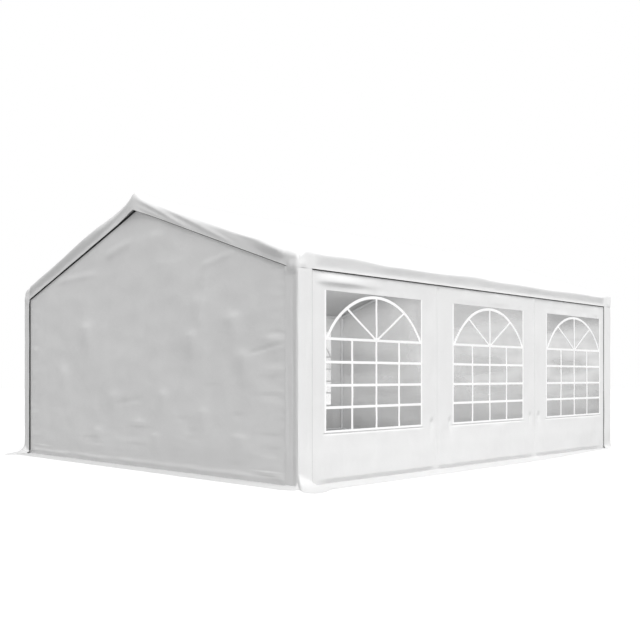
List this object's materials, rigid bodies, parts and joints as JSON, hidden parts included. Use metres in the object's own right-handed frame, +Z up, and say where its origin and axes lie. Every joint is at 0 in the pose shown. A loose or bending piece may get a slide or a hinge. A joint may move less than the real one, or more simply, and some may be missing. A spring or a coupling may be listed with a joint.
{
  "type": "marquee tent",
  "caption": "White rectangular marquee tent with a gabled roof cover, plain gable walls, arched clear windows along both long sides and ground flaps, on a round steel tube frame.",
  "frame": {"origin": "on the ground, in the middle of the plan", "axes": "+Z up; +Y along the ridge, towards the rear gable; +X across the tent, towards the long side on the right of someone who faces the tent's front gable from outside"},
  "size_m": [5.8082, 6.471, 2.9403],
  "materials": {
    "frame_steel": "white powder coat, satin",
    "cover_cloth": "coated white woven sheet, satin",
    "window_film": "clear soft film with white bars"
  },
  "bodies": {
    "root": {"ridge_rail": "frame_steel", "eave_rail_right": "frame_steel", "eave_rail_left": "frame_steel", "ground_rail_right": "frame_steel", "ground_rail_left": "frame_steel", "ground_rail_front": "frame_steel", "ground_rail_rear": "frame_steel", "leg_right_front": "frame_steel", "leg_right_mid_front": "frame_steel", "leg_right_mid_rear": "frame_steel", "leg_right_rear": "frame_steel", "leg_left_front": "frame_steel", "leg_left_mid_front": "frame_steel", "leg_left_mid_rear": "frame_steel", "leg_left_rear": "frame_steel", "rafter_right_front": "frame_steel", "rafter_right_mid_front": "frame_steel", "rafter_right_mid_rear": "frame_steel", "rafter_right_rear": "frame_steel", "rafter_left_front": "frame_steel", "rafter_left_mid_front": "frame_steel", "rafter_left_mid_rear": "frame_steel", "rafter_left_rear": "frame_steel", "purlin_right_front": "frame_steel", "purlin_right_middle": "frame_steel", "purlin_right_rear": "frame_steel", "purlin_left_front": "frame_steel", "purlin_left_middle": "frame_steel", "purlin_left_rear": "frame_steel", "roof_cover": "cover_cloth", "gable_wall_front": "cover_cloth", "gable_wall_rear": "cover_cloth", "side_wall_right": "cover_cloth", "side_wall_left": "cover_cloth", "corner_wrap_front_right": "cover_cloth", "corner_wrap_front_left": "cover_cloth", "corner_wrap_rear_right": "cover_cloth", "corner_wrap_rear_left": "cover_cloth", "ground_flap_right": "cover_cloth", "ground_flap_left": "cover_cloth", "ground_flap_front": "cover_cloth", "ground_flap_rear": "cover_cloth", "window_film_right_front": "window_film", "window_film_right_middle": "window_film", "window_film_right_rear": "window_film", "window_film_left_front": "window_film", "window_film_left_middle": "window_film", "window_film_left_rear": "window_film"}
  },
  "joints": []
}
